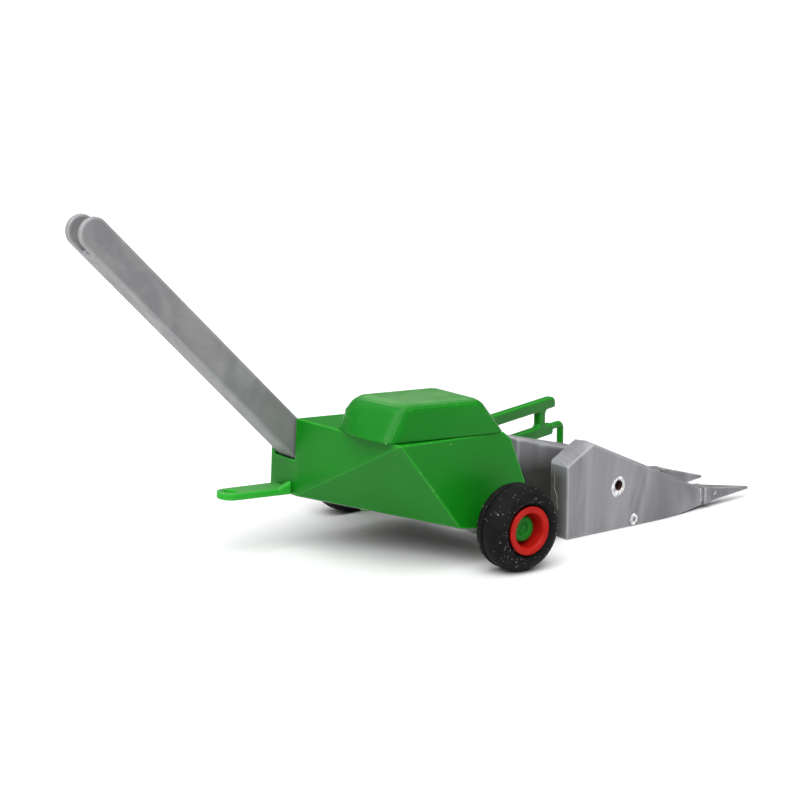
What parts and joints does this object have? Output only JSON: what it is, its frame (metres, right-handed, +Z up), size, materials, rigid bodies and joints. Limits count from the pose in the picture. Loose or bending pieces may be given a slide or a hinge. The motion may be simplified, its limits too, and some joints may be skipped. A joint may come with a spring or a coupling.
{
  "type": "toy corn picker",
  "caption": "Small moulded plastic toy corn picker with pointed gathering snouts, a hooded body, a rising rear elevator, a rear hitch tongue, a drawbar and free-rolling wheels.",
  "frame": {"origin": "on the ground under the middle of the overall length and width", "axes": "+X forward to the snout tips, +Y to the machine's left, +Z up"},
  "size_m": [0.1222, 0.0526, 0.058],
  "materials": {
    "green_plastic": "semi-gloss moulded",
    "bright_green_plastic": "semi-gloss moulded",
    "grey_plastic": "semi-gloss moulded",
    "dark_grey_plastic": "matt moulded",
    "tyre": "dull with white dust",
    "red_plastic": "semi-gloss moulded"
  },
  "bodies": {
    "chassis": {"body_shell": "green_plastic", "hood_cover": "green_plastic", "hood_side_box": "green_plastic", "rear_hitch_tongue": "bright_green_plastic", "base_pan": "dark_grey_plastic", "front_stake": "green_plastic", "rear_stake": "green_plastic", "elevator_pivot_pin": "dark_grey_plastic", "pivot_rib": "dark_grey_plastic", "axle": "green_plastic", "right_axle_boss": "green_plastic", "left_axle_boss": "green_plastic", "right_hub_cap": "bright_green_plastic", "left_hub_cap": "bright_green_plastic", "drawbar_truss": "green_plastic", "drawbar_pin": "green_plastic", "right_snout": "grey_plastic", "left_snout": "grey_plastic", "right_snout_nose": "grey_plastic", "left_snout_nose": "grey_plastic", "header_deck": "dark_grey_plastic"},
    "right_wheel": {"right_tyre": "tyre", "right_rim": "red_plastic"},
    "left_wheel": {"left_tyre": "tyre", "left_rim": "red_plastic"},
    "elevator_boom": {"elevator": "grey_plastic"}
  },
  "joints": [
    {"name": "right_wheel_spin", "type": "hinge", "parent": "chassis", "child": "right_wheel", "pos_m": [-0.00092, 0, 0.007], "axis": [0, 1, 0], "continuous": true},
    {"name": "left_wheel_spin", "type": "hinge", "parent": "chassis", "child": "left_wheel", "pos_m": [-0.00092, 0, 0.007], "axis": [0, 1, 0], "continuous": true},
    {"name": "elevator_pivot", "type": "hinge", "parent": "chassis", "child": "elevator_boom", "pos_m": [-0.01528, 0, 0.01171], "axis": [0, 1, 0], "range_deg": [0, 30]}
  ]
}
